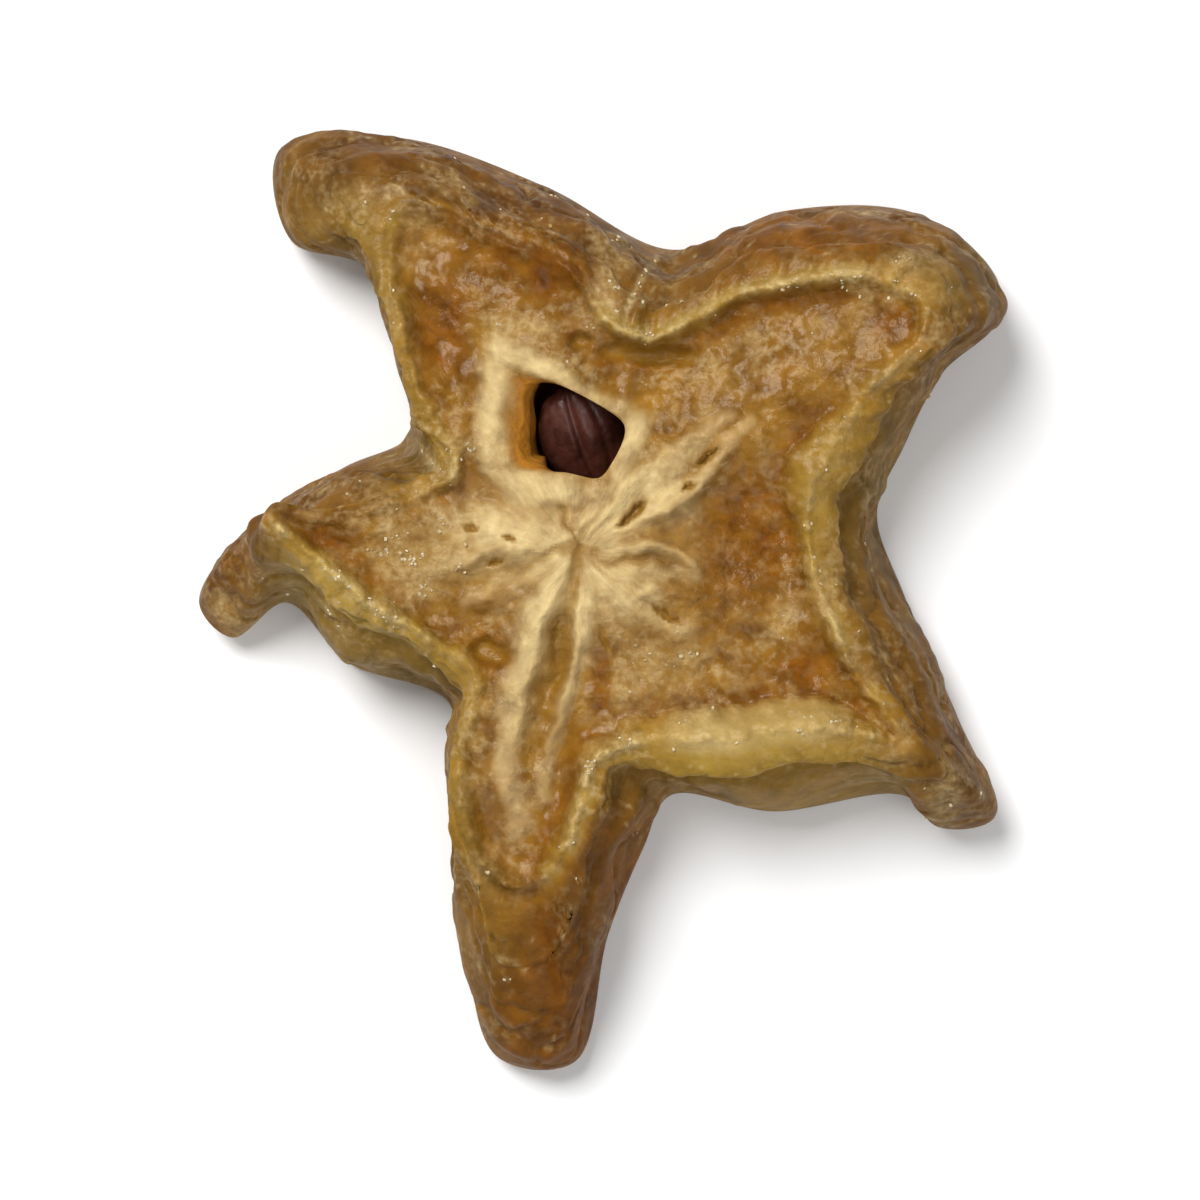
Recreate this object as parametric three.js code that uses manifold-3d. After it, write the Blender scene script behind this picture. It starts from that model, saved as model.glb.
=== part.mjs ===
// One dried slice of star fruit, lying on the wider of its two cut faces, with a seed left in it.
// Millimetres, +Z up. The origin is under the middle of the slice, on the surface it lies on.
import * as THREE from 'three';
import { LoftGeometry } from 'three/addons/geometries/LoftGeometry.js';
import { mergeVertices } from 'three/addons/utils/BufferGeometryUtils.js';
import Module from 'manifold-3d';

// Overall sizes
const SLICE_HEIGHT = 10.4;        // from the surface to the skin's upper edge
const LIP_RISE = 0.9;             // the skin's edge above the dried flesh beside it
const EDGE_DROP = 0.3;            // how far the edge rounds over on its outer side
const NOTCH_DROP = 0.7;           // the edge is lower in the notches between the ribs
const CORE_LEVEL = 9.9;           // top of the pale core in the middle of the cut face
const FLESH_SINK = 0.7;           // the flesh dries below the line from core to edge
const SIDE_ROUNDING = 0.75;       // 0 is a straight flank, 1 a quarter round from foot to edge
const FOOT_ROUND = 0.9;           // height of the rounded lower edge
const FLAT_SHARE = 0.55;          // the flat spot underneath, as a share of the upper cut outline

// Wrinkles of the skin on the flanks
const ROLL_GROOVE_DEPTH = 0.45;   // groove under the rolled skin edge
const ROLL_GROOVE_RISE = 0.7;     // its place between foot and edge
const ROLL_GROOVE_WIDTH = 0.12;
const CRINKLE_DEPTH = 0.22;       // shallow upright folds round the slice
const CRINKLE_COUNT = 23;

// The five ribs, counterclockwise from the upper right, seen from above, in millimetres from the core.
// Each outline runs from the notch before the rib, out along one side, round the tip and back:
// notch, side, shoulder, two tip corners, shoulder, side. The upper cut is narrower than the base.
// tipRise lifts the upper edge at the tip, tipLift the lower one, and tipRounding shapes the slope
// between them as SIDE_ROUNDING does elsewhere.
const RIBS = [
  {
    name: 'upper_right',
    cut: [[12.9, 1.8], [13.7, 4.4], [16.1, 8.3], [19.4, 12.2], [19.0, 14.3], [15.3, 15.6], [9.1, 14.8]],
    base: [[16.8, 2.5], [18.3, 6.2], [20.5, 10.4], [23.5, 13.2], [23.4, 15.9], [19.0, 19.4], [11.6, 19.6]],
    tipRise: 1.1,
    tipLift: 0.9,
    tipRounding: 0.95,
  },
  {
    name: 'upper_left',
    cut: [[3.1, 12.2], [-0.1, 15.6], [-5.5, 18.2], [-9.5, 19.4], [-10.7, 18.2], [-10.7, 14.4], [-9.4, 9.1]],
    base: [[5.2, 17.4], [-1.8, 20.9], [-10.1, 23.7], [-17.0, 23.0], [-16.3, 17.8], [-12.0, 16.3], [-10.4, 10.8]],
    tipRise: -1.4,
    tipLift: 0.8,
    tipRounding: 0.85,
  },
  {
    name: 'left',
    cut: [[-7.4, 4.6], [-10.4, 3.3], [-14.3, 2.3], [-16.9, 2.7], [-17.3, 1.8], [-15.0, -0.4], [-12.0, -3.0]],
    base: [[-9.6, 7.0], [-13.3, 5.1], [-18.3, 2.1], [-21.5, -2.6], [-19.6, -4.6], [-16.6, -2.6], [-13.1, -6.0]],
    tipRise: 0.5,
    tipLift: 1.0,
    tipRounding: 0.1,
  },
  {
    name: 'lower',
    cut: [[-6.4, -7.0], [-7.0, -11.2], [-6.5, -15.9], [-4.4, -18.5], [-2.5, -18.7], [-0.4, -16.4], [0.4, -14.0]],
    base: [[-7.4, -8.3], [-7.5, -13.3], [-6.6, -20.7], [-4.7, -28.2], [-0.3, -28.5], [1.6, -21.3], [3.6, -16.4]],
    tipRise: -1.6,
    tipLift: 0.6,
    tipRounding: 0.8,
  },
  {
    name: 'lower_right',
    cut: [[1.6, -11.4], [7.3, -10.7], [13.8, -10.1], [17.4, -10.7], [18.2, -10.1], [16.0, -7.0], [13.7, -2.1]],
    base: [[5.1, -13.5], [10.9, -14.4], [18.3, -13.5], [20.3, -15.3], [23.4, -14.7], [21.3, -9.0], [18.3, -2.1]],
    tipRise: -0.6,
    tipLift: 0.7,
    tipRounding: 0.8,
  },
];
const TIP_SHARE = [0, 0, 0.4, 1, 1, 0.4, 0];      // how far each outline point shares in the tip's values
const NOTCH_SHARE = [1, 0.3, 0, 0, 0, 0, 0.3];    // and in the notch's drop
const STEPS_PER_POINT = 4;

// The four closed seed chambers: pale double walls round a shallow groove, pointing out from the core.
const CHAMBERS = [
  { angle: 39, start: 1.6, end: 11.4, halfWidth: 1.25 },
  { angle: 197, start: 1.2, end: 7.6, halfWidth: 1.3 },
  { angle: 256, start: 1.4, end: 8.8, halfWidth: 1.5 },
  { angle: 346, start: 1.2, end: 7.4, halfWidth: 1.2 },
];
const WALL_RISE = 0.55;
const WALL_WIDTH = 0.45;
const GROOVE_DEPTH = 0.6;

// The open seed chamber: its mouth on the cut face, its floor, and how far it widens on the way down.
const MOUTH = [[-4.0, 4.6], [-0.8, 4.3], [1.4, 4.2], [2.5, 7.1], [-3.8, 9.9]];
const MOUTH_CENTRE = [-1.2, 6.2];
const MOUTH_STEPS = 24;
const CHAMBER_SECTIONS = [
  { level: 3.2, scale: 1.0 },
  { level: 4.2, scale: 1.34 },
  { level: 6.4, scale: 1.42 },
  { level: 8.0, scale: 1.25 },
  { level: 8.8, scale: 1.0 },
  { level: 12.5, scale: 1.0 },
];

// The seed: a flat almond with a keel along it, lying tilted on the chamber's floor.
const SEED = { length: 6.0, width: 4.9, thickness: 2.8, keel: 0.35, tilt: 24, heading: -70 };
const SEED_CENTRE = [0.2, 6.7, 5.4];
const SEED_STATIONS = 12;
const SEED_SIDES = 18;

// The upper and lower cut outlines as closed curves, with each point's height worked out from its rib
function edgeCurve(key, heightOf) {
  const points = RIBS.flatMap((rib) => rib[key].map(([x, y], place) => {
    return new THREE.Vector3(x, y, heightOf(rib, place));
  }));
  return new THREE.CatmullRomCurve3(points, true, 'centripetal');
}

const cutHeight = (rib, place) => {
  return SLICE_HEIGHT + rib.tipRise * TIP_SHARE[place] - NOTCH_DROP * NOTCH_SHARE[place];
};
const baseHeight = (rib, place) => FOOT_ROUND + rib.tipLift * TIP_SHARE[place];
const cutEdge = edgeCurve('cut', cutHeight);
const baseEdge = edgeCurve('base', baseHeight);
const roundings = RIBS.flatMap((rib) => TIP_SHARE.map((share) => {
  return THREE.MathUtils.lerp(SIDE_ROUNDING, rib.tipRounding, share);
}));
const COLUMNS = roundings.length * STEPS_PER_POINT;

function roundingAt(along) {
  const place = along * roundings.length;
  const before = Math.floor(place);
  const next = (before + 1) % roundings.length;
  return THREE.MathUtils.lerp(roundings[before], roundings[next], place - before);
}

const bell = (distance, width) => Math.exp(-((distance / width) ** 2));

// Skin between the foot and the upper edge, with the groove under the rolled edge and upright folds
function flankPoint(along, rise) {
  const foot = baseEdge.getPoint(along);
  const edge = cutEdge.getPoint(along);
  const turn = rise * Math.PI / 2;
  const straight = foot.clone().lerp(edge, rise);
  const rounded = foot.clone().lerp(edge, 1 - Math.cos(turn));
  rounded.z = THREE.MathUtils.lerp(foot.z, edge.z - EDGE_DROP, Math.sin(turn));
  const point = straight.lerp(rounded, roundingAt(along));

  const tangent = baseEdge.getTangent(along);
  const outward = new THREE.Vector3(tangent.y, -tangent.x, 0).normalize();
  const groove = ROLL_GROOVE_DEPTH * bell(rise - ROLL_GROOVE_RISE, ROLL_GROOVE_WIDTH);
  const midFlank = Math.sin(rise * Math.PI);
  const crinkle = CRINKLE_DEPTH * midFlank * Math.sin(along * CRINKLE_COUNT * Math.PI * 2 + rise * 3);
  return point.addScaledVector(outward, crinkle - groove);
}

// Relief of the pale chamber walls and the grooves between them
function chamberRelief(x, y) {
  let relief = 0;
  for (const { angle, start, end, halfWidth } of CHAMBERS) {
    const heading = THREE.MathUtils.degToRad(angle);
    const out = x * Math.cos(heading) + y * Math.sin(heading);
    const across = Math.abs(y * Math.cos(heading) - x * Math.sin(heading));
    const share = (2 * out - start - end) / (end - start);
    if (Math.abs(share) < 1) {
      const width = halfWidth * Math.sqrt(1 - share * share);
      const wall = WALL_RISE * bell(across - width, WALL_WIDTH);
      const groove = across < width ? GROOVE_DEPTH * (1 - (across / width) ** 2) : 0;
      relief += (wall - groove) * (1 - share * share);
    }
  }
  return relief;
}

// Upper cut face: a lip at the skin, sunken flesh, and the core standing up in the middle
function facePoint(along, share) {
  const edge = cutEdge.getPoint(along);
  const x = edge.x * share;
  const y = edge.y * share;
  const level = THREE.MathUtils.lerp(CORE_LEVEL, edge.z - LIP_RISE, share * share);
  const lip = LIP_RISE * THREE.MathUtils.smoothstep(share, 0.88, 0.97);
  const overTheEdge = EDGE_DROP * THREE.MathUtils.smoothstep(share, 0.97, 1);
  const fleshShare = THREE.MathUtils.smoothstep(share, 0.3, 0.65);
  const sink = FLESH_SINK * fleshShare * (1 - THREE.MathUtils.smoothstep(share, 0.8, 0.97));
  return new THREE.Vector3(x, y, level + lip - overTheEdge - sink + chamberRelief(x, y));
}

// Lower cut face, from the flat spot in the middle out to the foot, lifting a little towards the tips
function undersidePoint(along, share) {
  const foot = baseEdge.getPoint(along);
  const flat = cutEdge.getPoint(along).multiplyScalar(FLAT_SHARE).setZ(0);
  const lift = (foot.z - FOOT_ROUND) * share ** 3 + FOOT_ROUND * share ** 10;
  return flat.lerp(foot, share).setZ(lift);
}

const UNDERSIDE_SHARES = [0, 0.4, 0.75, 0.9, 0.96];
const FLANK_RISES = [0, 0.14, 0.3, 0.46, 0.58, 0.7, 0.8, 0.9];
const FACE_SHARES = [1, 0.97, 0.92, 0.85, 0.75, 0.65, 0.57, 0.5, 0.43, 0.36, 0.3, 0.24, 0.18, 0.1];

function sliceSections() {
  const ringOf = (pointAt, share) => {
    return Array.from({ length: COLUMNS }, (_, column) => pointAt(column / COLUMNS, share));
  };
  return [
    ...UNDERSIDE_SHARES.map((share) => ringOf(undersidePoint, share)),
    ...FLANK_RISES.map((rise) => ringOf(flankPoint, rise)),
    ...FACE_SHARES.map((share) => ringOf(facePoint, share)),
  ];
}

// Hollow of the open chamber, from its floor up through the cut face
function chamberSections() {
  const corners = MOUTH.map(([x, y]) => new THREE.Vector3(x - MOUTH_CENTRE[0], y - MOUTH_CENTRE[1], 0));
  const mouth = new THREE.CatmullRomCurve3(corners, true, 'centripetal');
  return CHAMBER_SECTIONS.map(({ level, scale }) => {
    return Array.from({ length: MOUTH_STEPS }, (_, step) => {
      const point = mouth.getPoint(step / MOUTH_STEPS).multiplyScalar(scale);
      return point.set(point.x + MOUTH_CENTRE[0], point.y + MOUTH_CENTRE[1], level);
    });
  });
}

// Seed along its own X axis: pointed ovals with a low keel on top and underneath
function seedSections() {
  return Array.from({ length: SEED_STATIONS }, (_, station) => {
    const turn = Math.PI * (station + 0.5) / SEED_STATIONS;
    const x = -Math.cos(turn) * SEED.length / 2;
    const fullness = Math.sin(turn) ** 0.8;
    return Array.from({ length: SEED_SIDES }, (_, side) => {
      const angle = side / SEED_SIDES * Math.PI * 2;
      const keel = SEED.keel * Math.abs(Math.sin(angle)) ** 6;
      const y = Math.cos(angle) * fullness * SEED.width / 2;
      const z = Math.sin(angle) * fullness * (SEED.thickness / 2 - SEED.keel + keel);
      return new THREE.Vector3(x, y, z);
    });
  });
}

const wasm = await Module();
wasm.setup();

function closedGeometry(sections) {
  const loft = new LoftGeometry(sections, { capStart: true, capEnd: true });
  const surface = new THREE.BufferGeometry();
  surface.setAttribute('position', loft.getAttribute('position'));
  surface.setIndex(loft.getIndex());
  return mergeVertices(surface);
}

function toSolid(geometry) {
  const vertProperties = new Float32Array(geometry.getAttribute('position').array);
  const triVerts = new Uint32Array(geometry.getIndex().array);
  return new wasm.Manifold(new wasm.Mesh({ numProp: 3, vertProperties, triVerts }));
}

function toGeometry(solid) {
  const mesh = solid.getMesh();
  const geometry = new THREE.BufferGeometry();
  geometry.setAttribute('position', new THREE.BufferAttribute(mesh.vertProperties, 3));
  geometry.setIndex(new THREE.BufferAttribute(mesh.triVerts, 1));
  geometry.computeVertexNormals();
  return geometry;
}

const sliceGeometry = toGeometry(toSolid(closedGeometry(sliceSections()))
  .subtract(toSolid(closedGeometry(chamberSections()))));
const seedGeometry = closedGeometry(seedSections());
seedGeometry.computeVertexNormals();

const slice = new THREE.Mesh(sliceGeometry, new THREE.MeshStandardMaterial({
  color: 0x9a6a2c,
  roughness: 0.55,
  metalness: 0,
}));
slice.name = 'slice';

const seed = new THREE.Mesh(seedGeometry, new THREE.MeshStandardMaterial({
  color: 0x2d100e,
  roughness: 0.35,
  metalness: 0,
}));
seed.name = 'seed';
seed.position.set(...SEED_CENTRE);
seed.rotation.set(0, THREE.MathUtils.degToRad(SEED.tilt), THREE.MathUtils.degToRad(SEED.heading), 'ZYX');

// The slice is centred over the origin, with its flat spot on the surface
sliceGeometry.computeBoundingBox();
const middle = sliceGeometry.boundingBox.getCenter(new THREE.Vector3());
const fruit = new THREE.Group();
fruit.position.set(-middle.x, -middle.y, 0);
fruit.add(slice, seed);

export default fruit;
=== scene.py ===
import bpy
import numpy as np
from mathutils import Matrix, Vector, geometry, kdtree, noise


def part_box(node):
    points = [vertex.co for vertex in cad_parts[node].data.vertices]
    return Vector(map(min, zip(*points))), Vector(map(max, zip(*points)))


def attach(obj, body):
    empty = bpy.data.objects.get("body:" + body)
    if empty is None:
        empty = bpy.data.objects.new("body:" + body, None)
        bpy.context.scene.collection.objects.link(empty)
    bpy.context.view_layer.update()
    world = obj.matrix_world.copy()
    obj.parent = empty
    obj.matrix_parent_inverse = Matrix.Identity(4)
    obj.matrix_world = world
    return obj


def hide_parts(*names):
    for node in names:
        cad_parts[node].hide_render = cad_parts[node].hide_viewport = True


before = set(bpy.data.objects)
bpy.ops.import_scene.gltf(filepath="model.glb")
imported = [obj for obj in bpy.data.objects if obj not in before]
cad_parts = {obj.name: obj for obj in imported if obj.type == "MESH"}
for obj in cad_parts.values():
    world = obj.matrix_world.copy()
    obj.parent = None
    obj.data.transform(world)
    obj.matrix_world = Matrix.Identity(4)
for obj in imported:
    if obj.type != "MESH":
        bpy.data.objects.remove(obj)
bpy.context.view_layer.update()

# Slice: flesh, core and skin, grown as one piece, cut on two faces, then candied and dried.
# The skin's edge stands up as an uneven rolled lip round the sunken amber flesh, and the pale walls
# of the seed chambers run out from the core. It lies on its wider cut face.
MM = 0.001
SLICE_HEIGHT = 10.4
LIP_RISE = 0.9
LIP_CREST = 0.4
EDGE_DROP = 0.3
NOTCH_DROP = 0.7
CORE_LEVEL = 9.9
FLESH_SINK = 0.7
SIDE_ROUNDING = 0.75
FOOT_ROUND = 0.9
FLAT_SHARE = 0.55
ROLL_GROOVE_DEPTH = 0.6
ROLL_GROOVE_RISE = 0.66
ROLL_GROOVE_WIDTH = 0.1
ROLL_BULGE = 0.45
ROLL_BULGE_RISE = 0.87
ROLL_BULGE_WIDTH = 0.13
CRINKLE_DEPTH = 0.22
CRINKLE_COUNT = 23
FOLD_DEPTH = 0.5
FOLD_SIZE = (7.0, 7.0, 2.2)
PLEAT_DEPTH = 0.16
NOTCH_PLEAT_DEPTH = 0.28
PLEAT_SIZE = (1.3, 1.3, 6.0)
CREASE_DEPTH = 0.32
CREASE_SIZE = (6.0, 6.0, 2.4)
WRINKLE_DEPTH = 0.025
WRINKLE_SIZE = 0.8
FLANK_TOP = 0.965
LUMP_HEIGHT = 0.32
RIPPLE_HEIGHT = 0.1
GRIT_HEIGHT = 0.04
STRAND_RISE = 0.34
VEIN_DEPTH = 0.22

# Each rib, counterclockwise from the upper right one. The outlines are in millimetres from the core:
# notch, side, shoulder, two tip corners, shoulder, side. The last three rows hold, for the same
# places, the height and width of the rolled lip and how olive the skin is.
RIBS = (
    {
        "cut": (
            (12.9, 1.8), (13.7, 4.4), (16.1, 8.3), (19.4, 12.2),
            (19.0, 14.3), (15.3, 15.6), (9.1, 14.8),
        ),
        "base": (
            (16.8, 2.5), (18.3, 6.2), (20.5, 10.4), (23.5, 13.2),
            (23.4, 15.9), (19.0, 19.4), (11.6, 19.6),
        ),
        "tip_rise": 1.1,
        "tip_lift": 0.9,
        "tip_rounding": 0.95,
        "roll": (0.9, 1.0, 0.7, 0.5, 0.6, 0.8, 0.9),
        "width": (1.3, 1.8, 1.2, 0.8, 0.9, 0.8, 0.8),
        "olive": (0.5, 0.6, 0.35, 0.15, 0.35, 0.05, 0.1),
    },
    {
        "cut": (
            (3.1, 12.2), (-0.1, 15.6), (-5.5, 18.2), (-9.5, 19.4),
            (-10.7, 18.2), (-10.7, 14.4), (-9.4, 9.1),
        ),
        "base": (
            (5.2, 17.4), (-1.8, 20.9), (-10.1, 23.7), (-17.0, 23.0),
            (-16.3, 17.8), (-12.0, 16.3), (-10.4, 10.8),
        ),
        "tip_rise": -1.4,
        "tip_lift": 0.8,
        "tip_rounding": 0.85,
        "roll": (1.1, 0.3, 0.15, 0.15, 0.3, 0.4, 0.4),
        "width": (0.8, 0.6, 0.8, 0.8, 0.8, 0.8, 0.8),
        "olive": (0.15, 0.0, 0.0, 0.1, 0.5, 0.5, 0.5),
    },
    {
        "cut": (
            (-7.4, 4.6), (-10.4, 3.3), (-14.3, 2.3), (-16.9, 2.7),
            (-17.3, 1.8), (-15.0, -0.4), (-12.0, -3.0),
        ),
        "base": (
            (-9.6, 7.0), (-13.3, 5.1), (-18.3, 2.1), (-21.5, -2.6),
            (-19.6, -4.6), (-16.6, -2.6), (-13.1, -6.0),
        ),
        "tip_rise": 0.5,
        "tip_lift": 1.0,
        "tip_rounding": 0.1,
        "roll": (0.8, 0.25, 0.2, 0.4, 0.6, 0.9, 0.8),
        "width": (0.6, 0.7, 0.7, 0.7, 0.7, 0.8, 0.9),
        # The last two olive values are set high so that this rib's lower flank, which lies in shade, comes
        # out lighter: painted light on top of the skin's own olive.
        "olive": (0.6, 0.1, 0.1, 0.0, 0.2, 1.0, 1.0),
    },
    {
        "cut": (
            (-6.4, -7.0), (-7.0, -11.2), (-6.5, -15.9), (-4.4, -18.5),
            (-2.5, -18.7), (-0.4, -16.4), (0.4, -14.0),
        ),
        "base": (
            (-7.4, -8.3), (-7.5, -13.3), (-6.6, -20.7), (-4.7, -28.2),
            (-0.3, -28.5), (1.6, -21.3), (3.6, -16.4),
        ),
        "tip_rise": -1.6,
        "tip_lift": 0.6,
        "tip_rounding": 0.8,
        "roll": (0.5, 0.3, 0.25, 0.15, 0.4, 0.9, 1.0),
        "width": (0.9, 0.8, 0.8, 0.8, 0.8, 0.8, 0.8),
        "olive": (0.6, 0.5, 0.4, 0.2, 0.0, 0.05, 0.15),
    },
    {
        "cut": (
            (1.6, -11.4), (7.3, -10.7), (13.8, -10.1), (17.4, -10.7),
            (18.2, -10.1), (16.0, -7.0), (13.7, -2.1),
        ),
        "base": (
            (5.1, -13.5), (10.9, -14.4), (18.3, -13.5), (20.3, -15.3),
            (23.4, -14.7), (21.3, -9.0), (18.3, -2.1),
        ),
        "tip_rise": -0.6,
        "tip_lift": 0.7,
        "tip_rounding": 0.8,
        "roll": (0.8, 1.1, 1.0, 0.5, 0.6, 0.7, 0.8),
        "width": (0.9, 1.9, 1.7, 0.8, 0.8, 0.8, 1.0),
        "olive": (0.5, 1.0, 0.8, 0.2, 0.1, 0.15, 0.3),
    },
)
TIP_SHARE = (0, 0, 0.4, 1, 1, 0.4, 0)
NOTCH_SHARE = (1, 0.3, 0, 0, 0, 0, 0.3)

# Open seed chamber: its mouth, and its width on the way down to its floor. Its wall slopes in under
# the mouth's left side.
MOUTH = np.array((
    (-4.0, 5.1), (-3.6, 4.6), (-0.8, 4.4), (1.0, 4.1), (1.5, 4.5),
    (2.5, 6.6), (2.3, 7.3), (-3.1, 9.9), (-3.8, 9.5),
))
MOUTH_CENTRE = np.array((-1.2, 6.2))
CHAMBER_LEVELS = (3.2, 4.2, 6.4, 8.0, 8.8, 9.8)
CHAMBER_SCALES = (1.0, 1.34, 1.42, 1.25, 1.0, 1.0)
CHAMBER_LEFT_SCALES = (0.40, 0.43, 0.44, 0.55, 0.74, 1.0)

# Closed seed chambers: heading in degrees, reach from and to in millimetres, half width, and depth of
# the groove between their walls
CHAMBERS = (
    (39, 1.6, 11.4, 1.25, 0.1), (197, 1.2, 7.6, 1.3, 0.2),
    (256, 1.8, 12.5, 1.2, 0.55), (346, 1.2, 7.4, 1.2, 0.2),
)
WALL_RISE = 0.35
WALL_WIDTH = 0.5

# Pale strands of chamber wall: the places that they run through, half width and strength
STRANDS = (
    (((-0.7, -0.9), (-2.4, -3.8), (-2.9, -5.7), (-3.5, -9.0), (-4.0, -12.0), (-3.7, -15.4)), 0.8, 1.0),
    (((0.1, -1.2), (0.2, -4.4), (0.2, -5.7), (-0.8, -8.3), (-2.2, -13.4)), 0.55, 0.95),
    (((0.9, 1.5), (4.4, 4.6), (7.8, 7.4)), 0.65, 0.95),
    (((1.6, 1.0), (5.6, 3.2), (9.4, 7.0)), 0.55, 0.9),
    (((0.8, -0.1), (3.4, 0.2), (6.4, -0.8)), 0.45, 0.85),
    (((1.0, -0.6), (4.2, -1.5), (6.4, -1.3)), 0.45, 0.85),
    (((0.8, -1.0), (2.6, -2.4), (5.7, -4.5)), 0.75, 0.95),
    (((-0.9, 0.3), (-3.4, 1.6), (-7.4, 2.1)), 0.65, 0.9),
    (((-1.0, -0.1), (-4.4, -0.2), (-7.2, -0.6)), 0.6, 0.85),
    (((-0.9, -0.5), (-3.6, -1.4), (-6.2, -2.9)), 0.5, 0.8),
    (((-3.4, 3.6), (-0.6, 3.2), (1.9, 3.1)), 0.75, 1.0),
    (((2.9, 6.8), (2.1, 3.9), (0.9, 0.8)), 0.6, 0.95),
    (((-4.8, 10.2), (-4.8, 4.7), (-2.4, 2.0), (-0.4, 0.4)), 0.6, 0.9),
    (((-4.4, 11.0), (-0.6, 9.3), (3.1, 7.4)), 0.55, 0.95),
)

# Tan veins between the strands, from the core outwards, given in the same way
VEINS = (
    (((0.0, 0.3), (-1.1, 2.7)), 0.16, 0.8),
    (((0.0, 0.3), (1.0, 1.9), (1.9, 3.2)), 0.15, 0.7),
    (((-0.2, 0.1), (-2.7, -0.5), (-4.2, -2.1)), 0.2, 0.8),
    (((-0.1, -0.3), (-0.8, -3.1), (-1.3, -5.7), (-2.2, -9.5)), 0.36, 1.0),
    (((0.2, 0.0), (3.1, -0.5), (5.3, -0.7)), 0.26, 0.9),
    (((0.2, -0.2), (1.9, -1.3), (3.4, -1.9)), 0.14, 0.6),
)

# Thin silvery creases in the skin of the two notches beside the upper left rib, given in the same way
SEAMS = (
    (((1.7, 13.7), (-0.7, 16.1)), 0.13, 1.0),
    (((2.6, 13.4), (3.3, 15.0), (4.4, 17.0)), 0.16, 1.0),
    (((3.4, 13.6), (4.4, 15.2)), 0.1, 0.9),
    (((-7.9, 4.7), (-9.2, 6.4)), 0.14, 0.9),
)

# Small slits and pits in the face: place, heading in degrees, half length, half width and depth
SLITS = (
    (2.9, 2.1, 40, 1.1, 0.25, 0.7), (6.0, 3.6, 20, 0.4, 0.18, 0.5), (7.1, 5.3, 45, 0.7, 0.22, 0.6),
    (4.8, -3.4, -30, 1.1, 0.2, 0.6), (-4.7, -0.5, 10, 0.5, 0.16, 0.35), (-3.9, 0.8, -20, 0.4, 0.14, 0.35),
    (-6.0, 1.4, -15, 0.4, 0.18, 0.35), (-4.9, -5.5, -10, 1.3, 0.7, 0.6), (0.0, 11.7, 20, 0.7, 0.55, 0.7),
    (3.9, 11.0, -4, 2.9, 0.6, 0.6), (-1.4, -4.4, 80, 0.8, 0.16, 0.3), (1.4, -4.9, -70, 0.9, 0.18, 0.3),
)

# How closely the surface is sampled, in counts and in millimetres
ROUND_COUNT = 840
FLANK_ROWS = 48
FACE_SPACING = 0.18
UNDERSIDE_SPACING = 0.5
MOUTH_COUNT = 170
WALL_ROWS = 26

# The core's place in the part's frame follows from the seed, which the solid keeps at this offset
SEED_CENTRE = np.array((0.2, 6.7, 5.4))
seed_low, seed_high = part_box("seed")
core = (np.array(seed_low) + np.array(seed_high)) / 2 / MM - SEED_CENTRE


def smooth(low, high, value):
    """0 before low, 1 after high, eased between; low may be above high"""
    share = np.clip((value - low) / (high - low), 0, 1)
    return share * share * (3 - 2 * share)


def bell(distance, width):
    """1 at no distance, falling off over the given width"""
    return np.exp(-(distance / width) ** 2)


def cloud(places, size, octaves=3, shift=0.0):
    """Smooth fixed noise from about -1 to 1 over millimetre places, with lumps of the given size"""
    scaled = np.asarray(places) / np.asarray(size) + shift
    return np.array([noise.fractal(Vector(place), 1.0, 2.0, octaves) for place in scaled])


def fissures(places, size, width, shift=0.0):
    """Thin wandering lines, 1 on the line and 0 away from it"""
    return bell(cloud(places, size, 2, shift), width)


def curve_at(corners, along):
    """Places on the smooth closed curve through the corners, for shares from 0 to 1 of the way round"""
    here = np.asarray(corners, dtype=float)
    before, after, beyond = (np.roll(here, turn, axis=0) for turn in (1, -1, -2))
    gap = np.sqrt(np.linalg.norm(after - here, axis=1))[:, None]
    gap_before, gap_after = np.roll(gap, 1, axis=0), np.roll(gap, -1, axis=0)
    leave = ((here - before) / gap_before - (after - before) / (gap_before + gap)) * gap + (after - here)
    arrive = (after - here) + ((beyond - after) / gap_after - (beyond - here) / (gap + gap_after)) * gap
    place = np.asarray(along) * len(here)
    stretch = np.floor(place).astype(int) % len(here)
    t = (place - np.floor(place))[:, None]
    a, b, u, v = here[stretch], after[stretch], leave[stretch], arrive[stretch]
    return a + u * t + (3 * (b - a) - 2 * u - v) * t ** 2 + (2 * (a - b) + u + v) * t ** 3


cut_points = [
    (*corner, SLICE_HEIGHT + rib["tip_rise"] * tip - NOTCH_DROP * notch)
    for rib in RIBS for corner, tip, notch in zip(rib["cut"], TIP_SHARE, NOTCH_SHARE)
]
base_points = [
    (*corner, FOOT_ROUND + rib["tip_lift"] * tip)
    for rib in RIBS for corner, tip in zip(rib["base"], TIP_SHARE)
]
rounding_points = [
    SIDE_ROUNDING + (rib["tip_rounding"] - SIDE_ROUNDING) * tip
    for rib in RIBS for tip in TIP_SHARE
]

# Even steps round the slice, measured half way between its two outlines
fine = np.linspace(0, 1, 7000, endpoint=False)
half_way = (curve_at(cut_points, fine) + curve_at(base_points, fine)) / 2
steps = np.linalg.norm(np.roll(half_way, -1, axis=0) - half_way, axis=1)
travelled = np.concatenate(([0], np.cumsum(steps)))
round_places = np.linspace(0, travelled[-1], ROUND_COUNT, endpoint=False)
along = np.interp(round_places, travelled, np.append(fine, 1.0))
foot = curve_at(base_points, along)
edge = curve_at(cut_points, along)


def round_value(values):
    """A value given for every outline corner, spread over the steps round the slice"""
    return np.interp(along * len(values), np.arange(len(values) + 1), list(values) + [values[0]])


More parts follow.
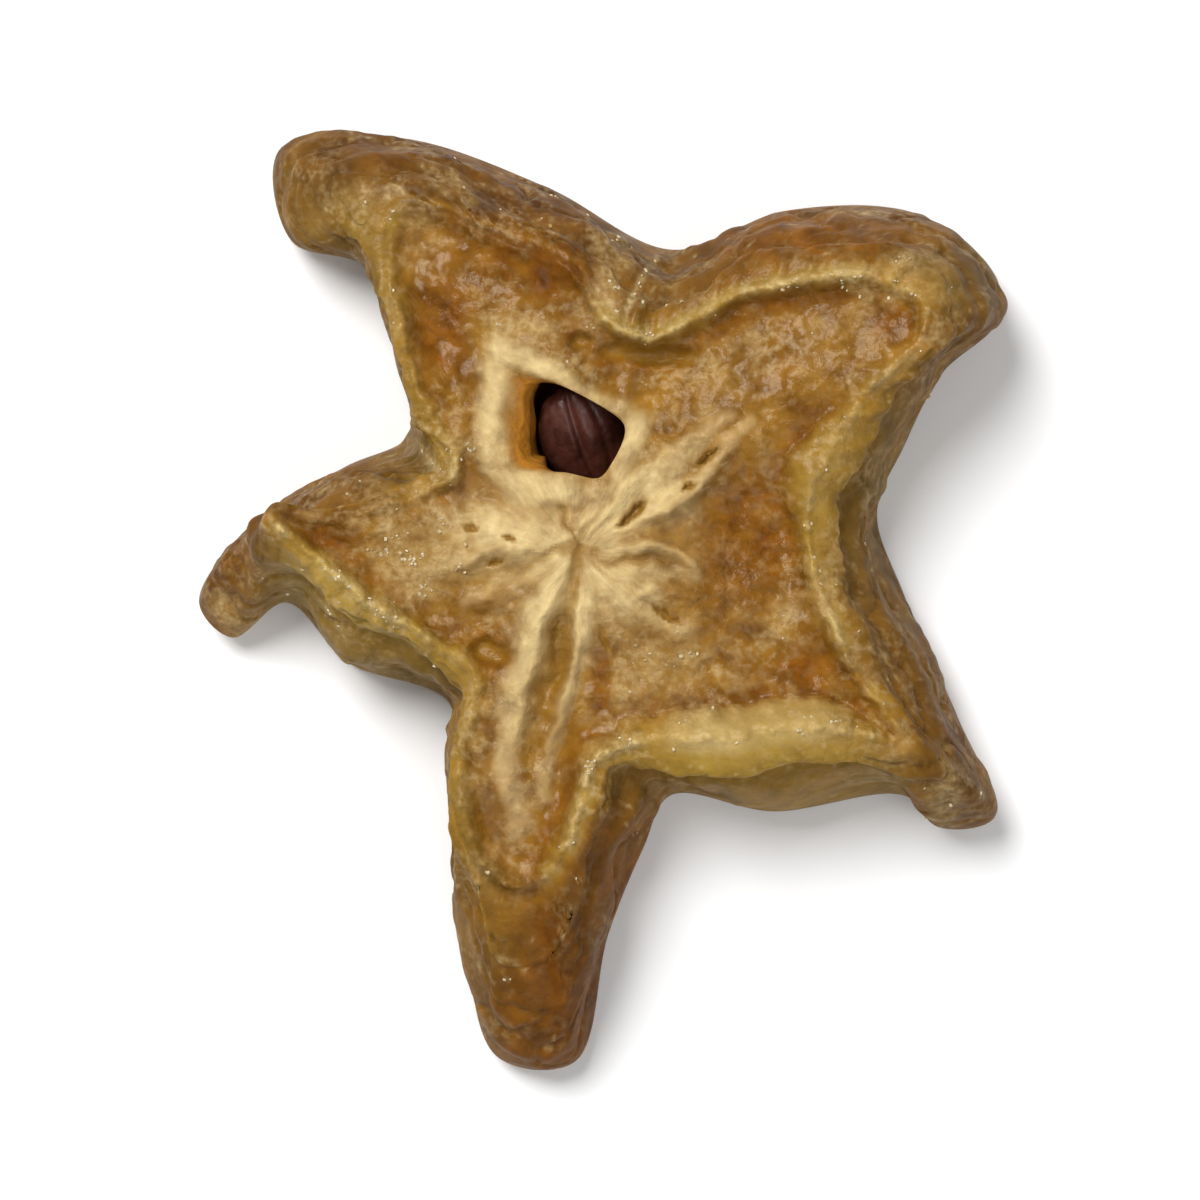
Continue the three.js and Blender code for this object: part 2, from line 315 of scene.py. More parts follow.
rounding = round_value(rounding_points)
roll_width = round_value([value for rib in RIBS for value in rib["width"]])
roll = round_value([value for rib in RIBS for value in rib["roll"]])
roll *= 1 + 0.45 * cloud(edge, 1.6, 3, 61.0) * smooth(1.8, 0.8, roll_width)
olive = round_value([value for rib in RIBS for value in rib["olive"]])
notchness = round_value([notch for _ in RIBS for notch in NOTCH_SHARE])
tangent = np.roll(foot, -1, axis=0) - np.roll(foot, 1, axis=0)
outward = np.column_stack((tangent[:, 1], -tangent[:, 0], np.zeros(ROUND_COUNT)))
outward /= np.linalg.norm(outward, axis=1)[:, None]
wander = 0.22 * cloud(edge, 1.9, 3, 31.0)
edge += outward * wander[:, None]
edge[:, 2] += roll - LIP_RISE + 0.25 * cloud(edge, 2.3, 3, 37.0)


def along_skin(rise):
    """Places for noise that is measured along the skin and up it, and meets itself all the way round"""
    turn = round_places / travelled[-1] * 2 * np.pi
    radius = travelled[-1] / (2 * np.pi)
    height = np.full(ROUND_COUNT, rise * SLICE_HEIGHT)
    return np.column_stack((radius * np.cos(turn), radius * np.sin(turn), height))


def flank_row(rise):
    """The skin at one height between foot and edge, with its rolled edge, folds, creases and wrinkles"""
    turn = rise * np.pi / 2
    straight = foot + (edge - foot) * rise
    rounded = foot + (edge - foot) * (1 - np.cos(turn))
    rounded[:, 2] = foot[:, 2] + (edge[:, 2] - EDGE_DROP - foot[:, 2]) * np.sin(turn)
    row = straight + (rounded - straight) * rounding[:, None]
    groove = ROLL_GROOVE_DEPTH * roll * bell(rise - ROLL_GROOVE_RISE, ROLL_GROOVE_WIDTH)
    bulge = ROLL_BULGE * roll * roll_width * bell(rise - ROLL_BULGE_RISE, ROLL_BULGE_WIDTH)
    middle = smooth(0, 0.2, rise) * smooth(1, 0.8, rise)
    crinkle = CRINKLE_DEPTH * np.sin(along * CRINKLE_COUNT * 2 * np.pi + rise * 3)
    skin_places = along_skin(rise)
    folds = FOLD_DEPTH * cloud(skin_places, FOLD_SIZE, 2, 3.1)
    pleats = (PLEAT_DEPTH + NOTCH_PLEAT_DEPTH * notchness) * cloud(skin_places, PLEAT_SIZE, 2, 14.2)
    creases = CREASE_DEPTH * fissures(skin_places, CREASE_SIZE, 0.05, 5.5)
    wrinkles = WRINKLE_DEPTH * cloud(row, WRINKLE_SIZE, 3, 8.3)
    swell = bulge - groove + wrinkles * smooth(0, 0.05, rise)
    swell += middle * (crinkle + folds + pleats - creases) * smooth(2.4, 1.2, roll_width)
    return row + outward * swell[:, None]


rises = np.linspace(0, FLANK_TOP, FLANK_ROWS)
flank = np.array([flank_row(rise) for rise in rises])


def nearest(targets, places):
    """Distance from each place to the nearest target, and which target that is, both flat"""
    tree = kdtree.KDTree(len(targets))
    for index, target in enumerate(targets):
        tree.insert((target[0], target[1], 0), index)
    tree.balance()
    found = [tree.find((place[0], place[1], 0)) for place in places]
    return np.array([hit[2] for hit in found]), np.array([hit[1] for hit in found])


def within(places, loop):
    """Which flat places lie inside a closed outline"""
    inside = np.zeros(len(places), dtype=bool)
    for (x1, y1), (x2, y2) in zip(loop, np.roll(loop, -1, axis=0)):
        crosses = (y1 > places[:, 1]) != (y2 > places[:, 1])
        if crosses.any():
            meets = x1 + (places[:, 1] - y1) / (y2 - y1) * (x2 - x1)
            inside ^= crosses & (places[:, 0] < meets)
    return inside


def fill_outline(loop, spacing, hole=None):
    """Flat points and triangles inside an outline: first the outline's, then the hole's, then the rest"""
    low, high = loop.min(axis=0), loop.max(axis=0)
    rows = np.arange(low[1], high[1], spacing * np.sqrt(3) / 2)
    columns = np.arange(low[0], high[0], spacing)
    lattice = np.array([(x + (row % 2) * spacing / 2, y) for row, y in enumerate(rows) for x in columns])
    lattice = lattice[within(lattice, loop)]
    borders = [loop] if hole is None else [loop, hole]
    for border in borders:
        lattice = lattice[nearest(border, lattice)[0] > spacing * 0.6]
    if hole is not None:
        lattice = lattice[~within(lattice, hole)]
    flat = np.concatenate(borders + [lattice])
    links = []
    start = 0
    for border in borders:
        count = len(border)
        links += [(start + step, start + (step + 1) % count) for step in range(count)]
        start += count
    result = geometry.delaunay_2d_cdt([Vector(place) for place in flat], links, [], 1, 1e-6)
    origins = np.array([source[0] for source in result[3]])
    triangles = origins[np.array(result[2])]
    middles = flat[triangles].mean(axis=1)
    keep = within(middles, loop)
    if hole is not None:
        keep &= ~within(middles, hole)
    return flat, triangles[keep]


# Upper cut face
rim_angle = np.unwrap(np.arctan2(edge[:, 1], edge[:, 0]))
mouth = curve_at(MOUTH, np.linspace(0, 1, MOUTH_COUNT, endpoint=False))
face_flat, face_triangles = fill_outline(edge[:, :2], FACE_SPACING, mouth)
face_x, face_y = face_flat.T
from_core = np.hypot(face_x, face_y)
heading = np.arctan2(face_y, face_x)
to_rim, rim_column = nearest(edge[:, :2], face_flat)
to_mouth = nearest(mouth, face_flat)[0]
flat_points = np.column_stack((face_x, face_y, np.zeros(len(face_x))))


def stray(places, shift):
    """A wandering offset that keeps natural lines from running straight"""
    return 0.45 * cloud(places, 3.2, 2, shift) + 0.22 * cloud(places, 0.9, 2, shift + 7.0)


def chamber_pattern(x, y):
    """Relief of the closed chambers' walls and grooves, and how far each place is open groove"""
    relief, groove_share = np.zeros(len(x)), np.zeros(len(x))
    for angle, start, end, half_width, depth in CHAMBERS:
        turn = np.radians(angle)
        out = x * np.cos(turn) + y * np.sin(turn)
        across = np.abs(y * np.cos(turn) - x * np.sin(turn))
        share = (2 * out - start - end) / (end - start)
        inside = np.clip(1 - share * share, 0, None)
        width = half_width * np.sqrt(inside) + 1e-6
        wall = bell(across - width, WALL_WIDTH) * np.sqrt(inside)
        groove = np.clip(1 - (across / width) ** 2, 0, None) * inside
        relief += (WALL_RISE * wall - depth * groove) * np.sqrt(inside)
        groove_share = np.maximum(groove_share, groove * min(1.0, 1.5 * depth))
    return relief, groove_share


def strand_share(x, y, strands=STRANDS):
    """How far each place belongs to a pale strand, which thins out towards its end"""
    share = np.zeros(len(x))
    for stops, half_width, strength in strands:
        pieces = len(stops) - 1
        for piece, ((x1, y1), (x2, y2)) in enumerate(zip(stops, stops[1:])):
            run_x, run_y = x2 - x1, y2 - y1
            t = np.clip(((x - x1) * run_x + (y - y1) * run_y) / (run_x ** 2 + run_y ** 2), 0, 1)
            away = np.hypot(x - x1 - t * run_x, y - y1 - t * run_y)
            travelled_share = (piece + t) / pieces
            width = half_width * (1.1 - 0.5 * travelled_share)
            fading = strength * (1 - 0.65 * travelled_share)
            share = np.maximum(share, fading * smooth(2.1, 0.3, away / width))
    return share


def core_streaks(x, y, spokes=6.0, shift=0.0):
    """Fibres that fan out from the core: noise stretched along the radius"""
    r = np.hypot(x, y)
    turn = np.arctan2(y, x)
    fan = np.column_stack((np.cos(turn) * spokes, np.sin(turn) * spokes, r * 0.16))
    return cloud(fan, 1.0, 3, shift)


def slit_share(x, y):
    """How far each place lies in one of the slits and pits, and how deep"""
    open_share, depth_there = np.zeros(len(x)), np.zeros(len(x))
    for slit_x, slit_y, angle, half_length, half_width, depth in SLITS:
        turn = np.radians(angle)
        out = (x - slit_x) * np.cos(turn) + (y - slit_y) * np.sin(turn)
        across = (y - slit_y) * np.cos(turn) - (x - slit_x) * np.sin(turn)
        share = smooth(1.25, 0.55, np.hypot(out / half_length, across / half_width))
        open_share = np.maximum(open_share, share)
        depth_there = np.maximum(depth_there, share * depth)
    return open_share, depth_there


def by_heading(values, spread=9):
    """A value known along the rim, for any heading from the core, evened out over some degrees each side"""
    degrees = np.radians(np.arange(360))
    table = np.interp(degrees, rim_angle, values, period=2 * np.pi)
    window = np.hanning(2 * spread + 3)
    padded = np.concatenate((table[-spread - 1:], table, table[:spread + 1]))
    evened = np.convolve(padded, window / window.sum(), "valid")
    return np.interp(heading, degrees, evened, period=2 * np.pi)


level_under_lip = by_heading(edge[:, 2] - roll)
level_under_lip += ((edge[:, 2] - roll)[rim_column] - level_under_lip) * smooth(1.6, 0, to_rim)
share = from_core / (from_core + to_rim + 1e-6)
stray_x = face_x + stray(flat_points, 20.1)
stray_y = face_y + stray(flat_points, 41.7)
relief, groove_share = chamber_pattern(stray_x, stray_y)
strands = strand_share(stray_x, stray_y)
streaks = core_streaks(stray_x, stray_y, 3.0)
fine_streaks = core_streaks(stray_x, stray_y, 9.0, 5.7)
veins = strand_share(stray_x, stray_y, VEINS)
lumps = cloud(flat_points, 3.0, 3, 1.7)
ripples = cloud(flat_points, 1.1, 3, 11.7)
grit = cloud(flat_points, 0.5, 3, 4.2)
slit, slit_depth = slit_share(face_x + 0.12 * grit, face_y + 0.2 * ripples)
core_share = smooth(8.2, 1.6, from_core + 2.4 * streaks)
roll_here = roll[rim_column]
plump = smooth(1.1, 1.7, roll_width)[rim_column]
width_here = roll_width[rim_column] * (1 + (0.5 * lumps + 0.3 * ripples) * (1 - 0.7 * plump))
inward = np.clip((to_rim - LIP_CREST) / width_here, 0, 1)
sloped = smooth(1, 0, inward)
rim_here = sloped + (np.sqrt(1 - inward ** 2) - sloped) * plump

level = CORE_LEVEL + (level_under_lip - CORE_LEVEL) * share ** 2
over_edge = EDGE_DROP * smooth(LIP_CREST, 0, to_rim) * (1 - 0.6 * plump)
roll_round = by_heading(roll)
sink = FLESH_SINK * smooth(0.3, 0.65, share) * smooth(0.4, 2.2, to_rim) * (0.3 + 0.7 * roll_round)
detail = LUMP_HEIGHT * lumps + RIPPLE_HEIGHT * ripples + GRIT_HEIGHT * grit
fibre_share = smooth(0.3, 1.3, from_core) * (0.35 + 0.65 * core_share)
detail += fibre_share * (0.06 * fine_streaks + 0.12 * streaks)
detail += strands * (STRAND_RISE + 0.08 * fine_streaks) - VEIN_DEPTH * veins
detail *= smooth(0, 0.4, to_rim)
detail += 0.22 * bell(to_rim - LIP_CREST, 0.3) * np.clip(grit + ripples, 0, None)
face_z = level + roll_here * rim_here - over_edge - sink + relief + detail - slit_depth
face = np.column_stack((face_x, face_y, face_z))
mouth_row = face[ROUND_COUNT:ROUND_COUNT + MOUTH_COUNT]

# Open chamber, from its mouth down its wall and in over its floor
wall_depths = np.linspace(0, 1, WALL_ROWS)[1:]
from_middle = mouth - MOUTH_CENTRE
mouth_way = from_middle / np.linalg.norm(from_middle, axis=1)[:, None]
leftness = smooth(0.1, -0.75, mouth_way[:, 0])
chamber_rows = []
for depth in wall_depths:
    levels = mouth_row[:, 2] + (CHAMBER_LEVELS[0] - mouth_row[:, 2]) * depth
    scales = np.interp(levels, CHAMBER_LEVELS, CHAMBER_SCALES)
    scales += (np.interp(levels, CHAMBER_LEVELS, CHAMBER_LEFT_SCALES) - scales) * leftness
    row = np.column_stack((MOUTH_CENTRE + from_middle * scales[:, None], levels))
    sway = 0.12 * cloud(row, 1.1, 2, 6.4) * smooth(0, 0.15, depth)
    row[:, :2] += mouth_way * sway[:, None]
    chamber_rows.append(row)
for shrink in (0.8, 0.55, 0.3, 0.12):
    row = chamber_rows[WALL_ROWS - 2].copy()
    row[:, :2] = MOUTH_CENTRE + (row[:, :2] - MOUTH_CENTRE) * shrink
    row[:, 2] -= 0.1 * (1 - shrink)
    chamber_rows.append(row)
chamber = np.concatenate(chamber_rows)
chamber_bottom = np.array([[*MOUTH_CENTRE, CHAMBER_LEVELS[0] - 0.1]])

# Underside: a flat spot in the middle, from which the ribs lift a little towards their tips
under_flat, under_triangles = fill_outline(flank[0][:, :2], UNDERSIDE_SPACING)
under_x, under_y = under_flat.T
under_heading = np.arctan2(under_y, under_x)
rim_reach = np.hypot(edge[:, 0], edge[:, 1])
flat_reach = FLAT_SHARE * np.interp(under_heading, rim_angle, rim_reach, period=2 * np.pi)
to_foot = nearest(flank[0][:, :2], under_flat)[0]
beyond_flat = np.clip(np.hypot(under_x, under_y) - flat_reach, 0, None)
under_share = beyond_flat / (beyond_flat + to_foot + 1e-6)
foot_angle = np.unwrap(np.arctan2(foot[:, 1], foot[:, 0]))
foot_lift = np.interp(under_heading, foot_angle, foot[:, 2], period=2 * np.pi)
under_lift = (foot_lift - FOOT_ROUND) * under_share ** 3 + FOOT_ROUND * under_share ** 10
under_groove = chamber_pattern(under_x, under_y)[1]
under_strands = strand_share(under_x, under_y)
hollow = np.clip(0.25 * cloud(np.column_stack((under_x, under_y, under_lift)), 2.0, 3, 9.1), 0, None)
under_z = under_lift + (hollow + 0.5 * under_groove) * smooth(0, 0.5, to_foot)
under = np.column_stack((under_x, under_y, under_z))

# Join the four surfaces into one closed skin
face_start = FLANK_ROWS * ROUND_COUNT
chamber_start = face_start + len(face)
bottom_index = chamber_start + len(chamber)
under_start = bottom_index + 1
points = np.concatenate((flank.reshape(-1, 3), face, chamber, chamber_bottom, under[ROUND_COUNT:]))


def ring_quads(lower, upper):
    """Quads between two rings of point numbers, facing out when the upper ring is further up"""
    return np.column_stack((lower, np.roll(lower, -1), np.roll(upper, -1), upper))


flank_rings = [np.arange(ROUND_COUNT) + row * ROUND_COUNT for row in range(FLANK_ROWS)]
flank_rings.append(np.arange(ROUND_COUNT) + face_start)
chamber_rings = [np.arange(MOUTH_COUNT) + face_start + ROUND_COUNT]
for row in range(len(chamber_rows)):
    chamber_rings.append(np.arange(MOUTH_COUNT) + chamber_start + row * MOUTH_COUNT)
quads = [ring_quads(lower, upper) for lower, upper in zip(flank_rings, flank_rings[1:])]
quads += [ring_quads(upper, lower) for upper, lower in zip(chamber_rings, chamber_rings[1:])]
last_ring = chamber_rings[-1]
fan = np.column_stack((last_ring, np.roll(last_ring, -1), np.full(MOUTH_COUNT, bottom_index)))


def turned(flat, triangles, upwards):
    """Triangles wound so that they face up or down"""
    a, b, c = (flat[triangles[:, corner]] for corner in range(3))
    faces_up = (b[:, 0] - a[:, 0]) * (c[:, 1] - a[:, 1]) - (b[:, 1] - a[:, 1]) * (c[:, 0] - a[:, 0]) > 0
    wrong = faces_up != upwards
    triangles = triangles.copy()
    triangles[wrong] = triangles[wrong][:, ::-1]
    return triangles


under_numbers = np.concatenate((np.arange(ROUND_COUNT), np.arange(len(under) - ROUND_COUNT) + under_start))
face_faces = turned(face_flat, face_triangles, True) + face_start
under_faces = under_numbers[turned(under_flat, under_triangles, False)]
all_faces = np.concatenate(quads).tolist() + np.concatenate((fan, face_faces, under_faces)).tolist()

slice_mesh = bpy.data.meshes.new("slice_skin")
slice_mesh.from_pydata(((points + core) * MM).tolist(), [], all_faces)
slice_mesh.polygons.foreach_set("use_smooth", np.ones(len(all_faces), dtype=bool))
slice_mesh.update()

# Which finish each place has, from 0 to 1. Pools and patches are a place and two half widths.
AMBER_POOLS = (
    (3.8, 11.0, 3.4, 1.0), (0.0, 11.8, 0.9, 0.8), (-4.9, -5.6, 1.6, 1.1), (9.6, 0.9, 3.2, 3.8),
    (10.3, 14.8, 3.0, 1.0), (-2.7, 15.1, 3.2, 2.2), (1.2, -7.2, 0.8, 3.0), (-1.8, -24.4, 3.6, 5.2),
    (2.6, -16.9, 1.8, 3.6), (17.4, 12.7, 1.8, 1.4), (12.6, -6.2, 3.0, 1.6), (-7.6, 12.5, 1.8, 3.4),
    (-4.0, -12.5, 1.0, 3.5), (-13.5, 0.6, 2.2, 1.0), (10.5, -13.0, 5.0, 1.2),
    (12.5, 17.4, 5.0, 1.6),
)
CRUST_PATCHES = (
    (-10.0, -0.2, 3.8, 2.4), (-9.0, 0.3, 3.0, 2.0), (5.0, -8.4, 4.0, 1.6), (0.5, 13.5, 1.6, 1.2),
    (13.9, 0.8, 0.9, 2.4),
    (20.4, -13.8, 1.3, 1.8), (18.6, 15.4, 3.4, 1.8), (-20.0, -3.4, 2.0, 1.6), (-12.0, 19.6, 2.6, 1.2),
    (14.5, -9.4, 3.0, 0.8), (2.0, 16.5, 1.6, 2.0),
    (10.0, -11.0, 4.5, 0.6), (4.5, -6.0, 2.0, 1.6), (-3.0, 12.6, 3.0, 1.4),
)
CREAM_PATCHES = (
    (-3.9, 0.8, 2.7, 1.9), (-0.8, 3.3, 2.4, 0.9), (-1.2, -2.4, 1.4, 1.7), (2.9, -2.5, 1.5, 1.1),
    (4.2, 3.3, 2.0, 1.6), (1.2, 1.0, 1.6, 1.4),
)


def patches(x, y, spots):
    """Soft spots given as place and half widths"""
    total = np.zeros(len(x))
    for spot_x, spot_y, half_x, half_y in spots:
        total = np.maximum(total, bell(np.hypot((x - spot_x) / half_x, (y - spot_y) / half_y), 1.0))
    return total


x, y, z = points.T
broad = cloud(points, 3.4, 3, 2.2)
patchy = cloud(points, 1.3, 4, 7.9)
total = len(points)
face_slots = slice(face_start, chamber_start)
chamber_slots = slice(chamber_start, under_start)
under_slots = slice(under_start, total)
skin_share, olive_share, pale_share, groove_all, line_share = (np.zeros(total) for _ in range(5))
skin_share[:face_start] = np.repeat(smooth(1.0, 0.88, rises), ROUND_COUNT)
flank_olive = olive[None, :] * (0.6 + 0.4 * smooth(0.62, 0.75, rises))[:, None]
olive_share[:face_start] = flank_olive.ravel()
olive_share[face_slots] = rim_here * np.maximum(olive[rim_column], 0.65 * smooth(0.5, 0.9, roll_here))
crest = bell(to_rim - LIP_CREST, 0.3) * smooth(0.25, 0.9, roll_here)
line_share[face_slots] = crest * smooth(-0.5, 0.4, ripples + lumps) * (1 - 0.7 * plump)
skin_share[face_slots] = smooth(1.6, 0.3, to_rim) * smooth(0.5, 0.2, roll_here)
skin_lines = 0.6 * fissures(points[:face_start], (2.6, 2.6, 1.8), 0.035, 17.5)
skin_lines *= smooth(-0.2, 0.4, patchy[:face_start])
line_share[:face_start] = np.maximum(skin_lines, strand_share(x[:face_start], y[:face_start], SEAMS))
fan_share = core_share * (0.3 + 0.6 * streaks + 0.25 * fine_streaks)
cream_share = patches(stray_x, stray_y, CREAM_PATCHES) * (0.85 + 0.45 * ripples + 0.3 * grit)
strand_pale = strands * (1.0 + 0.25 * ripples)
milky = np.clip(np.maximum(np.maximum(strand_pale, fan_share), cream_share), 0, 1)
pale_lip = 0.3 * plump * rim_here * smooth(0.6, 0.95, olive[rim_column])
pale_share[face_slots] = np.maximum(milky, pale_lip) * (1 - slit) * (1 - 0.7 * veins)
groove_all[face_slots] = np.maximum(np.maximum(groove_share, slit), 0.8 * veins)
pale_share[chamber_slots] = 0.8 * smooth(9.0, 9.7, z[chamber_slots])
# Painted light: the upper part of the open chamber's left wall, which lies in shade, is coloured a bright lit
# amber.
painted_wall_light_share = np.zeros(total)
painted_wall_light_share[chamber_slots] = smooth(4.8, 7.0, z[chamber_slots]) * smooth(-1.0, -2.6, x[chamber_slots])
under_core = smooth(8.5, 2.0, np.hypot(under_x, under_y))[ROUND_COUNT:]
pale_share[under_slots] = np.maximum(under_strands[ROUND_COUNT:], 0.6 * under_core)
film = patches(x, y, CRUST_PATCHES)
pools = patches(x, y, AMBER_POOLS)
amber_share = np.clip(1.15 * pools + 0.45 * cloud(points, 2.6, 3, 71.0) - 0.4 * film, 0, 1)
amber_share *= 0.9 + 0.5 * patchy
# Painted shade: a deeper amber band in the groove at the inner foot of the rolled lip, where shade falls
# under it.
lip_foot_painted_shade = bell(to_rim - LIP_CREST - width_here - 0.3, 0.6) * smooth(0.5, 0.9, roll_here)
amber_share[face_slots] = np.maximum(amber_share[face_slots], lip_foot_painted_shade * (0.75 + 0.6 * patchy[face_slots]))
amber_share[chamber_slots] = 1.0
crust_share = 0.05 + 0.5 * broad + 0.6 * patchy + 0.65 * film - 0.5 * amber_share
crust_share[:face_start] -= 0.28 + 0.25 * np.tile(smooth(1.2, 1.8, roll_width), FLANK_ROWS)
crust_share[face_slots] += 0.6 * (0.4 * lumps + 0.4 * ripples + 0.3 * grit)
crust_share[chamber_slots] = 0.0

FINISHES = {
    "skin": skin_share,
    "olive": olive_share,
    "pale": pale_share,
    "groove": groove_all,
    "amber": amber_share,
    "crust": crust_share,
    "line": line_share,
    "painted_wall_light": painted_wall_light_share,
}
for finish, values in FINISHES.items():
    clipped = np.clip(values, 0, 1).astype(np.float32)
    slice_mesh.attributes.new(finish, "FLOAT", "POINT").data.foreach_set("value", clipped)

MIX_SHARE, MIX_FIRST, MIX_SECOND, MIX_RESULT = 0, 6, 7, 2


def feed(tree, socket, value):
    """Links a socket to another one, or sets it to a plain value"""
    if isinstance(value, bpy.types.NodeSocket):
        tree.links.new(value, socket)
    else:
        socket.default_value = value


def mixed(tree, share, first, second):
    """The first colour, turning into the second one by a share from 0 to 1"""
    mix = tree.nodes.new("ShaderNodeMix")
    mix.data_type = "RGBA"
    for socket, value in ((MIX_SHARE, share), (MIX_FIRST, first), (MIX_SECOND, second)):
        feed(tree, mix.inputs[socket], value)
    return mix.outputs[MIX_RESULT]


def sums(tree, operation, first, second, third=None):
    """One step of arithmetic on sockets or plain numbers"""
    step = tree.nodes.new("ShaderNodeMath")
    step.operation = operation
    for socket, value in zip(step.inputs, (first, second, third)):
        if value is not None:
            feed(tree, socket, value)
    return step.outputs[0]


def finish_share(tree, name):
    """How far a place has one of the finishes that the mesh carries"""
    share_node = tree.nodes.new("ShaderNodeAttribute")
    share_node.attribute_name = name
    return share_node.outputs["Fac"]


def grain(tree, place, lump, detail=4.0, low=0.3, high=0.7):
    """Noise with lumps of the given size in metres, spread so that low to high becomes 0 to 1"""
    texture = tree.nodes.new("ShaderNodeTexNoise")
    feed(tree, texture.inputs["Vector"], place)
    feed(tree, texture.inputs["Scale"], 1 / lump)
    feed(tree, texture.inputs["Detail"], detail)
    spread = tree.nodes.new("ShaderNodeMapRange")
    feed(tree, spread.inputs["Value"], texture.outputs["Fac"])
    feed(tree, spread.inputs["From Min"], low)
    feed(tree, spread.inputs["From Max"], high)
    return spread.outputs["Result"]


def new_finish(name):
    """A material with its node tree, its shader and the place on the piece"""
    material = bpy.data.materials.new(name)
    material.use_nodes = True
    tree = material.node_tree
    place = tree.nodes.new("ShaderNodeTexCoord").outputs["Object"]
    return material, tree, tree.nodes["Principled BSDF"], place


def from_core_place(tree, place):
    """The place turned into direction and distance from the core, so that noise on it runs in streaks"""
    shift = tree.nodes.new("ShaderNodeVectorMath")
    shift.operation = "SUBTRACT"
    feed(tree, shift.inputs[0], place)
    shift.inputs[1].default_value = (core[0] * MM, core[1] * MM, 0)
    flatten = tree.nodes.new("ShaderNodeVectorMath")
    flatten.operation = "MULTIPLY"
    feed(tree, flatten.inputs[0], shift.outputs["Vector"])
    flatten.inputs[1].default_value = (1, 1, 0)
    radius = tree.nodes.new("ShaderNodeVectorMath")
    radius.operation = "LENGTH"
    feed(tree, radius.inputs[0], flatten.outputs["Vector"])
    way = tree.nodes.new("ShaderNodeVectorMath")
    way.operation = "NORMALIZE"
    feed(tree, way.inputs[0], flatten.outputs["Vector"])
    split = tree.nodes.new("ShaderNodeSeparateXYZ")
    feed(tree, split.inputs[0], way.outputs["Vector"])
    sway = grain(tree, place, 0.0022, 3.0)
    stretch = tree.nodes.new("ShaderNodeCombineXYZ")
    feed(tree, stretch.inputs["X"], sums(tree, "MULTIPLY_ADD", sway, 0.12, split.outputs["X"]))
    feed(tree, stretch.inputs["Y"], split.outputs["Y"])
    feed(tree, stretch.inputs["Z"], sums(tree, "MULTIPLY", radius.outputs["Value"], 45.0))
    return stretch.outputs["Vector"]


